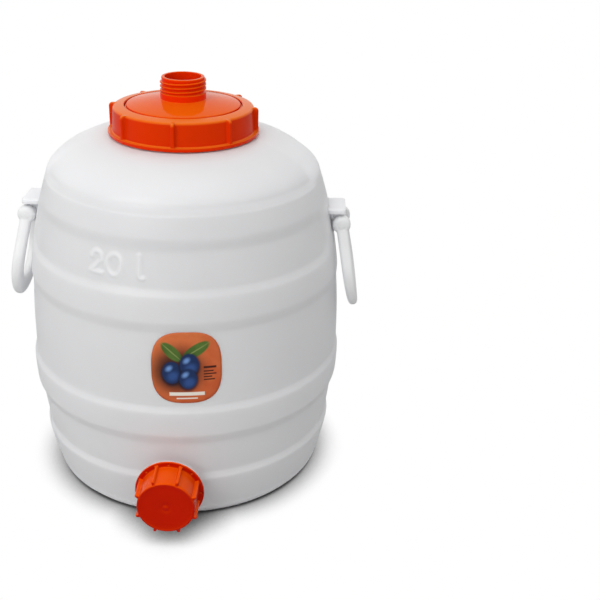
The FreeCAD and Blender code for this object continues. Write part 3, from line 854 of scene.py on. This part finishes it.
def lid_insert():
    """Disc of the lid with its threaded spigot, as one turned outline."""
    flange = RING_TOP_Z - RING_TOP_T - DISC_FLANGE_GAP
    plate_bottom = RING_TOP_Z - DISC_T
    ledge = RING_TOP_Z - LEDGE_DEPTH
    collar = RING_TOP_Z + SPIGOT_COLLAR_TOP
    lip_r, lip_z = SPIGOT_R + SPIGOT_LIP, SPIGOT_TOP_Z - SPIGOT_LIP_HEIGHT
    fillets = {DISC_R: 1.5 * MM, SPIGOT_COLLAR_R: 0.8 * MM, lip_r: 0.9 * MM}

    def fillet(corner):
        return next((size for r, size in fillets.items() if abs(corner[0] - r) < 1e-6), 0.5 * MM)

    outline = [(SPIGOT_BORE_R, RING_TOP_Z), (SPIGOT_BORE_R, plate_bottom), (SPIGOT_R, plate_bottom),
               *crown(SPIGOT_R, DISC_RIM_IN, plate_bottom), (DISC_RIM_IN, flange - DISC_FLANGE_T),
               (DISC_FLANGE_R, flange - DISC_FLANGE_T), (DISC_FLANGE_R, flange), (LEDGE_R, flange),
               (LEDGE_R, ledge), (DISC_R, ledge), *crown(DISC_R, SPIGOT_COLLAR_R, RING_TOP_Z),
               (SPIGOT_COLLAR_R, collar), (SPIGOT_R, collar), (SPIGOT_R, lip_z - 0.6 * MM),
               (lip_r, lip_z), (lip_r, SPIGOT_TOP_Z), (SPIGOT_BORE_R, SPIGOT_TOP_Z),
               (SPIGOT_BORE_R, RING_TOP_Z + 1 * MM)]
    outline = divide(rounded(outline, fillet, 5), 2.5 * MM)
    mesh = new_mesh("lid_insert", *turned([outline], even_angles(160)))
    add_object("lid_insert", mesh, DISC_COAT, "lid_disc")
    ridge("spigot_thread", SPIGOT_R, SPIGOT_CREST_R, SPIGOT_RIDGE, SPIGOT_LEAD, 2.8,
          RING_TOP_Z + 12.6 * MM, DISC_COAT, first=150 * DEG)


def flange_holes():
    """Cutters for the blind holes in the cap's flange, midway between the ribs."""
    count, phase = CAP_RIBS[:2]
    past = 6 * MM
    cutters = []
    for i in range(count):
        angle = phase + 2 * math.pi * (i + 0.5) / count
        verts, faces = lathe([(0, CAP_HOLE_FLOOR), (CAP_HOLE_R, CAP_HOLE_FLOOR), (CAP_HOLE_R, past),
                              (0, past)], 20)
        middle = (CAP_HOLE_PITCH_R * math.sin(angle), -CAP_HOLE_PITCH_R * math.cos(angle), 0)
        cutters.append((to_drain(verts + np.array(middle)), faces))
    return cutters


def cap_face():
    """Dished face of the cap with its gate mark, from the edge to the middle."""
    dish = [(r, CAP_DISH * min(1.0, (CAP_DISH_R - r) / CAP_DISH_EDGE)) for r in CAP_FACE_RADII]
    return [(r * MM, CAP_LENGTH - depth * MM) for r, depth in (*dish, *GATE_MARK)]


def drain_cap():
    """Ribbed screw cap of the drain spout, with its small flange holes and its gate mark."""
    angles = rib_angles(*CAP_RIBS)
    share = rib_share(angles, *CAP_RIBS, power=2.6)
    flange = CAP_FOOT_GAP + CAP_FLANGE_T
    under = CAP_LENGTH - CAP_TOP_T
    start = (CAP_RIB_R + 0.5 * MM, flange)
    inside = divide(rounded([(0.6 * MM, under), (CAP_BORE_R, under), (CAP_BORE_R, CAP_FOOT_GAP),
                             (CAP_BORE_R + 0.4 * MM, CAP_FOOT_GAP)], 0.8 * MM, 4), 4 * MM)
    low = divide(rounded([(CAP_BORE_R + 0.5 * MM, CAP_FOOT_GAP), (CAP_FLANGE_R, CAP_FOOT_GAP),
                          (CAP_FLANGE_R, flange), (CAP_RIB_R + 0.6 * MM, flange)], 0.9 * MM, 5), 2 * MM)
    plain = [start, (CAP_FOOT_R + 0.6 * MM, flange), (CAP_FOOT_R, flange + 0.6 * MM),
             *arc((CAP_HEAD_R - CAP_EDGE, CAP_LENGTH - CAP_EDGE), CAP_EDGE, 0, 90)]
    ribbed = [start, (CAP_RIB_R + 0.05 * MM, flange + 0.5 * MM),
              *arc((CAP_RIB_R - CAP_RIB_CORNER, CAP_RIB_TOP - CAP_RIB_CORNER), CAP_RIB_CORNER, 0, 80),
              (CAP_HEAD_R - 0.2 * MM, CAP_RIB_TOP + 0.1 * MM), (CAP_HEAD_R - CAP_EDGE, CAP_LENGTH)]
    side = mixed_rows(even(plain, 56), even(ribbed, 56), share)
    verts, faces = turned([inside, low, side, cap_face()], angles, (under, CAP_LENGTH))
    mesh = carved(new_mesh("drain_cap", to_drain(verts), faces), flange_holes())
    add_object("drain_cap_shell", mesh, CAP_COAT, "drain_cap")
    ridge("drain_cap_thread", CAP_BORE_R, CAP_CREST_R, DRAIN_RIDGE, DRAIN_LEAD, 1.8, 3 * MM, CAP_COAT,
          to_drain)


def spout():
    """Drain spout with its thread, standing on the pad with its root in the wall."""
    root = -2 * MM
    outline = divide(rounded([(SPOUT_BORE_R + 1 * MM, root), (SPOUT_R, root), (SPOUT_R, SPOUT_LENGTH),
                              (SPOUT_BORE_R, SPOUT_LENGTH), (SPOUT_BORE_R, root),
                              (SPOUT_BORE_R + 0.6 * MM, root)], 0.7 * MM, 4), 3 * MM)
    verts, faces = turned([outline], even_angles(96))
    add_object("drain_spout", new_mesh("drain_spout", to_drain(verts), faces), BARREL_COAT)
    ridge("spout_thread", SPOUT_R, SPOUT_CREST_R, DRAIN_RIDGE, DRAIN_LEAD, 1.6, 6 * MM, BARREL_COAT,
          to_drain)


# -------- handles and their lugs
def grip_line(half, centre, radius, count):
    """Outline of the grip as (drop, y) points: straight from a hub, round the bend, to the other."""
    angle = math.atan2(half, -centre) - math.acos(radius / math.hypot(centre, half))
    bend = [(centre + radius * math.cos(a), radius * math.sin(a)) for a in np.linspace(angle, -angle, 61)]
    return even([(0, half), *bend, (0, -half)], count)


def grip_part():
    """Swept grip of changing width with well-rounded edges, about the pivot."""
    count, sides = 90, 28
    outer, inner = (grip_line(*outline, count) for outline in BAIL_OUTLINES)
    middle, across = (outer + inner) / 2, (outer - inner) / 2
    wide, thick = squircle(even_angles(sides), BAIL_POWER)
    drop = middle[:, :1] + across[:, :1] * wide
    y = middle[:, 1:] + across[:, 1:] * wide
    slim = 1 - BAIL_SLIMMER * np.clip((middle[:, :1] - BAIL_SLIM_FROM) / BAIL_SLIM_OVER, 0, 1) ** 2
    verts = np.stack([BAIL_HALF_T * slim * thick + 0 * drop, y, -drop], axis=-1)
    return verts, capped_faces(count, sides)


def hub_outlines():
    """Domed hub with its nipple, and its peg, as (radius, distance from the middle) points."""
    chamfer = 0.5 * MM
    peg_end, peg_root = HUB_INNER - PEG_LENGTH, HUB_INNER + 2 * MM
    hub = [(0, HUB_INNER), (HUB_R - 0.4 * MM, HUB_INNER), (HUB_R, HUB_INNER + chamfer),
           *arc((HUB_R - HUB_CORNER, HUB_OUTER - HUB_CORNER - 0.4 * MM), HUB_CORNER, 0, 84, 10),
           (HUB_NIPPLE_R + 0.4 * MM, HUB_OUTER - 0.35 * MM), (HUB_NIPPLE_R, HUB_OUTER), (0, HUB_OUTER)]
    peg = [(0, peg_end), (PEG_R - chamfer, peg_end), (PEG_R, peg_end + chamfer), (PEG_R, peg_root),
           (0, peg_root)]
    return hub, peg


def handle(name, node_name, side, tilt):
    """Bail handle with two domed hubs and their pegs."""
    parts = [grip_part()]
    for direction in (-1, 1):
        for outline in hub_outlines():
            verts, faces = lathe([(r, direction * h) for r, h in outline], 64)
            parts.append((verts[:, [0, 2, 1]], faces))
    mesh = fused(name, parts)
    flat = np.empty(len(mesh.vertices) * 3)
    mesh.vertices.foreach_get("co", flat)
    x, y, z = flat.reshape(-1, 3).T
    placed = np.stack([side * (PIVOT_R + x * math.cos(tilt) - z * math.sin(tilt)), y,
                       PIVOT_Z + x * math.sin(tilt) + z * math.cos(tilt)], axis=-1)
    mesh.vertices.foreach_set("co", placed.reshape(-1))
    if side < 0:
        mesh.flip_normals()
    mesh.update()
    add_object(name, mesh, (HANDLE, node_name, "handle_plastic"), node_name)


def lug(name, side):
    """Lug under its flat hood, which grows out of the shell beside each handle."""
    hood_top = LUG_TOP_Z + HOOD_T
    low = PIVOT_Z - LUG_NOSE_R
    web_top = LUG_TOP_Z + 1 * MM

    def root(z):
        return float(wall_radius(z)) - LUG_ROOT

    nose = [(PIVOT_R + LUG_NOSE_R * math.sin(a), PIVOT_Z - LUG_NOSE_R * math.cos(a))
            for a in np.linspace(0, math.pi / 2, 9)[:-3]]
    web = [(root(low), low), *nose, (PIVOT_R + 5 * MM, PIVOT_Z + 2 * MM), (PIVOT_R + 2.4 * MM, web_top),
           (root(LUG_TOP_Z), web_top)]
    plan = [(root(hood_top), -HOOD_HALF_WIDTH)]
    plan += [(HOOD_R - HOOD_CORNER * (1 - math.sin(a)), -HOOD_HALF_WIDTH + HOOD_CORNER * (1 - math.cos(a)))
             for a in np.linspace(0, math.pi / 2, 7)]
    plan += [(x, -y) for x, y in plan[::-1]]
    mesh = fused(name, [prism(web, -LUG_HALF_WIDTH, LUG_HALF_WIDTH, 1), prism(plan, LUG_TOP_Z, hood_top, 2)])
    if side < 0:
        mesh.transform(Matrix.Diagonal((-1, 1, 1, 1)))
        mesh.flip_normals()
    add_object(name, mesh, LUG_COAT)


# -------- label
# The print, from -1 to 1 both ways. A leaf has a centre, half a length and a turn; the rest
# have a centre and half a size.
LEAVES = (((0.28, 0.5), 0.42, 0.5), ((-0.42, 0.46), 0.36, math.pi - 0.7))
LEAF_HALF_WIDTH = 0.16
VEIN_HALF_WIDTH = 0.016
SHADE = ((-0.25, -0.06), (0.7, 0.62))
PLUMS = (((-0.42, -0.12), (0.27, 0.31)), ((0.08, 0.1), (0.27, 0.31)), ((0.04, -0.3), (0.25, 0.28)))
PLUM_HALO = 0.04
DARK_BARS = (((0.66, 0.02), (0.18, 0.03)), ((0.62, -0.09), (0.14, 0.018)), ((0.66, -0.17), (0.18, 0.018)),
             ((0.60, -0.25), (0.12, 0.018)), ((0.64, -0.33), (0.16, 0.018)))
PALE_BARS = (((0, -0.73), (0.5, 0.05)), ((0, -0.86), (0.3, 0.018)))
BROWN_DARK, BROWN = (0.50, 0.095, 0.03), (0.62, 0.165, 0.055)
SHADE_INK, DARK_INK, PALE_INK = (0.02, 0.012, 0.01), (0.05, 0.015, 0.01), (0.76, 0.70, 0.62)
LEAF_DARK, LEAF_LIGHT, VEIN_INK = (0.022, 0.065, 0.014), (0.12, 0.20, 0.04), (0.24, 0.28, 0.09)
HALO_INK, PLUM_INK = (0.012, 0.010, 0.02), (0.014, 0.030, 0.095)
BLOOM_INK, SHINE_INK = (0.035, 0.085, 0.26), (0.16, 0.30, 0.62)


def ellipse(tree, uv, centre, radii, turn=0.0):
    """Signed distance, roughly, of an ellipse on the label."""
    c, s = math.cos(turn), math.sin(turn)
    du, dv = (calc(tree, "SUBTRACT", place, middle) for place, middle in zip(uv, centre))
    along = weighted(tree, du, c / radii[0], dv, s / radii[0])
    across = weighted(tree, dv, c / radii[1], du, -s / radii[1])
    reach = calc(tree, "SQRT", weighted(tree, along, along, across, across))
    return calc(tree, "MULTIPLY", calc(tree, "SUBTRACT", reach, 1.0), min(radii))


def bar(tree, uv, centre, half):
    """Signed distance, roughly, of an upright bar on the label."""
    sides = []
    for place, middle, size in zip(uv, centre, half):
        off = calc(tree, "ABSOLUTE", calc(tree, "SUBTRACT", place, middle))
        sides.append(calc(tree, "SUBTRACT", off, size))
    return calc(tree, "MAXIMUM", *sides)


def printed(tree, colour, ink, distance, edge=0.02, strength=1.0):
    """The colour with an ink over it where a signed distance is below zero, with a soft edge."""
    mask = remap(tree, distance, interpolation_type="SMOOTHSTEP", From_Min=edge, From_Max=-edge)
    if strength < 1:
        mask = calc(tree, "MULTIPLY", mask, strength)
    return paint(tree, colour, ink, mask)


def plum(tree, uv, colour, centre, radii):
    """The print with a plum over it: dark halo, skin, bloom and shine."""
    u, v = centre
    halo = ellipse(tree, uv, (u, v - 0.03), (radii[0] + PLUM_HALO, radii[1] + PLUM_HALO))
    colour = printed(tree, colour, HALO_INK, halo, 0.05, 0.8)
    colour = printed(tree, colour, PLUM_INK, ellipse(tree, uv, centre, radii))
    bloom = ellipse(tree, uv, (u + 0.03, v - 0.1), (0.15, 0.12), 0.4)
    colour = printed(tree, colour, BLOOM_INK, bloom, 0.08, 0.8)
    shine = ellipse(tree, uv, (u - 0.08, v + 0.12), (0.09, 0.06), 0.6)
    return printed(tree, colour, SHINE_INK, shine, 0.05, 0.9)


def label_film():
    """Printed film: warm brown ground, three dark plums with green leaves, plain bars."""
    mat, tree, shader = material("label_film")
    adjust(shader, Specular_IOR_Level=0.15, IOR=1.4)
    place = node(tree, "ShaderNodeUVMap").outputs["UV"]
    split = node(tree, "ShaderNodeSeparateXYZ")
    tree.links.new(place, split.inputs["Vector"])
    uv = [calc(tree, "MULTIPLY", calc(tree, "SUBTRACT", split.outputs[axis], 0.5), 2.0) for axis in "XY"]
    mottle = noise(tree, place, 5.0, 3.0)
    slant = calc(tree, "SUBTRACT", uv[1], uv[0])
    tone = calc(tree, "ADD", weighted(tree, mottle, 0.7, slant, 0.12), 0.12)
    colour = two_tone(tree, tone, (0.25, BROWN_DARK), (0.75, BROWN))
    colour = printed(tree, colour, SHADE_INK, ellipse(tree, uv, *SHADE), 0.28, 0.9)
    for centre, length, turn in LEAVES:
        green = paint(tree, LEAF_DARK, LEAF_LIGHT, mottle)
        leaf = ellipse(tree, uv, centre, (length, LEAF_HALF_WIDTH), turn)
        colour = printed(tree, colour, green, leaf)
        vein = ellipse(tree, uv, centre, (0.9 * length, VEIN_HALF_WIDTH), turn)
        colour = printed(tree, colour, VEIN_INK, vein, 0.01, 0.8)
    for centre, radii in PLUMS:
        colour = plum(tree, uv, colour, centre, radii)
    for bars, ink, edge in ((DARK_BARS, DARK_INK, 0.01), (PALE_BARS, PALE_INK, 0.012)):
        for centre, half in bars:
            colour = printed(tree, colour, ink, bar(tree, uv, centre, half), edge)
    grain = noise(tree, place, 160.0, 2.0)
    finish_surface(tree, shader, colour, mottle, (0.32, 0.48), grain, 0.08, 0.1 * MM)
    return mat


def label():
    """Thin sticker with rounded-square outline on the floor of the label recess."""
    columns, rows = 96, 14
    edge_u, edge_v = squircle(even_angles(columns), LABEL_POWER)
    share = np.linspace(1 / rows, 1, rows)[:, None]
    share = np.concatenate([share, share[::-1]])
    lift = np.repeat([0, LABEL_T], rows)[:, None] + 0 * edge_u

    def with_poles(grid, top=0):
        return np.concatenate([[0], grid.reshape(-1), [top]])

    u, v, lift = with_poles(share * edge_u), with_poles(share * edge_v), with_poles(lift, LABEL_T)
    z = LABEL_Z + v * LABEL_HALF[1]
    angle = LABEL_ANGLE + u * LABEL_HALF[0] / float(wall_radius(LABEL_Z))
    radius = wall_radius(z) - recess_depth(z, angle) + LABEL_GAP + lift
    mesh = new_mesh("label", turn_points(radius, z, angle), tube_faces(2 * rows, columns, poles=True))
    layer = mesh.uv_layers.new(name="print")
    flat = np.stack([(u + 1) / 2, (v + 1) / 2], axis=1)
    loops = np.empty(len(mesh.loops), dtype=int)
    mesh.loops.foreach_get("vertex_index", loops)
    layer.data.foreach_set("uv", flat[loops].reshape(-1))
    add_object("label", mesh, (label_film(), "barrel", "label_film"), "front_label")


barrel_shell()
ridge("neck_thread", NECK_R, NECK_CREST_R, LID_RIDGE, LID_LEAD, 1.25, NECK_RIDGE_Z, BARREL_COAT)
spout()
lug("handle_lug_right", 1)
lug("handle_lug_left", -1)
handle("bail_right", "handle_right", 1, RIGHT_TILT)
handle("bail_left", "handle_left", -1, LEFT_TILT)
lid_ring()
lid_insert()
drain_cap()
label()
for seal in ("lid_gasket", "drain_gasket"):
    skins = frame["nodes"][seal].data.materials
    skins.clear()
    skins.append(SEAL)


# -------- stage, camera, light
FLOOR_SIZE = 16
FLOOR_GREY = 0.45
# The painted shadow on the floor: its grey, its reach and the occlusion over which it clears.
SHADOW_GREY = 0.06
SHADOW_REACH = 50 * MM
SHADOW_OPEN = (0.2, 0.78)
SKY_FILL = 0.82
# Lamps have a name, a place, a diameter and a power.
LAMPS = (("top", (-0.15, -0.45, 2.0), 1.4, 3.2), ("key", (-0.8, -1.4, 1.2), 1.2, 11.5))
LAMP_TARGET = (0, 0, 0.18)

CAMERA_AZIMUTH = 7.5 * DEG
CAMERA_DISTANCE = 0.9256
CAMERA_HEIGHT = 0.6032
CAMERA_YAW = 7.13 * DEG
CAMERA_PITCH = 25.21 * DEG
CAMERA_ROLL = 1.8 * DEG
CAMERA_LENS_MM = 59.55
CAMERA_SENSOR_MM = 36


def floor():
    """Pale floor that reads as white to the camera, with a painted shadow round the barrel where the ambient
    occlusion is low.
    """
    bpy.ops.mesh.primitive_plane_add(size=FLOOR_SIZE)
    plane = bpy.context.object
    plane.name = "floor"
    mat, tree, shader = material("floor")
    adjust(shader, Base_Color=(FLOOR_GREY, FLOOR_GREY, FLOOR_GREY, 1), Roughness=0.7)
    # Painted shadow: the camera sees dark grey where the ambient occlusion finds the barrel close by, and
    # white elsewhere.
    nook = node(tree, "ShaderNodeAmbientOcclusion", samples=16, Distance=SHADOW_REACH)
    near = node(tree, "ShaderNodeBsdfDiffuse", Color=(SHADOW_GREY, SHADOW_GREY, SHADOW_GREY, 1))
    far = node(tree, "ShaderNodeEmission", Color=(1, 1, 1, 1), Strength=1.0)
    clear = remap(tree, nook.outputs["AO"], interpolation_type="SMOOTHSTEP",
                  From_Min=SHADOW_OPEN[0], From_Max=SHADOW_OPEN[1])
    seen = mixed_shader(tree, clear, near.outputs[0], far.outputs[0])
    path = node(tree, "ShaderNodeLightPath")
    surface = mixed_shader(tree, path.outputs["Is Camera Ray"], shader.outputs[0], seen)
    tree.links.new(surface, tree.nodes["Material Output"].inputs["Surface"])
    plane.data.materials.append(mat)


def camera():
    """Camera in front of the drain, a little to the right, looking down at the barrel."""
    level = math.cos(CAMERA_PITCH)
    ahead = Vector((math.sin(CAMERA_YAW) * level, math.cos(CAMERA_YAW) * level, -math.sin(CAMERA_PITCH)))
    right = Vector((math.cos(CAMERA_YAW), -math.sin(CAMERA_YAW), 0))
    up = right.cross(ahead)
    x = math.cos(CAMERA_ROLL) * right + math.sin(CAMERA_ROLL) * up
    y = -math.sin(CAMERA_ROLL) * right + math.cos(CAMERA_ROLL) * up
    data = bpy.data.cameras.new("camera")
    data.sensor_width = CAMERA_SENSOR_MM
    data.lens = CAMERA_LENS_MM
    cam = new_object("camera", data)
    around = Matrix.Rotation(CAMERA_AZIMUTH, 4, "Z")
    basis = Matrix((x, y, -ahead)).transposed().to_4x4()
    cam.matrix_world = around @ Matrix.Translation((0, -CAMERA_DISTANCE, CAMERA_HEIGHT)) @ basis
    bpy.context.scene.camera = cam


def lamp(name, at, size, power):
    """Round area lamp that faces the middle of the barrel."""
    data = bpy.data.lights.new(name, "AREA")
    data.shape = "DISK"
    data.size = size
    data.energy = power
    obj = new_object(name, data)
    obj.location = at
    obj.rotation_euler = (Vector(LAMP_TARGET) - Vector(at)).to_track_quat("-Z", "Y").to_euler()


def sky():
    """Even white light, at full white for the camera and for what it sees in gloss or glass."""
    world = bpy.data.worlds.new("studio")
    world.use_nodes = True
    bpy.context.scene.world = world
    tree = world.node_tree
    path = node(tree, "ShaderNodeLightPath").outputs
    seen = path["Is Camera Ray"]
    for name in ("Is Glossy Ray", "Is Transmission Ray"):
        seen = calc(tree, "MAXIMUM", seen, path[name])
    background = adjust(tree.nodes["Background"], Color=(1, 1, 1, 1))
    tree.links.new(remap(tree, seen, To_Min=SKY_FILL, To_Max=1.0), background.inputs["Strength"])


floor()
camera()
sky()
for values in LAMPS:
    lamp(*values)
bpy.context.scene.view_settings.view_transform = "Standard"
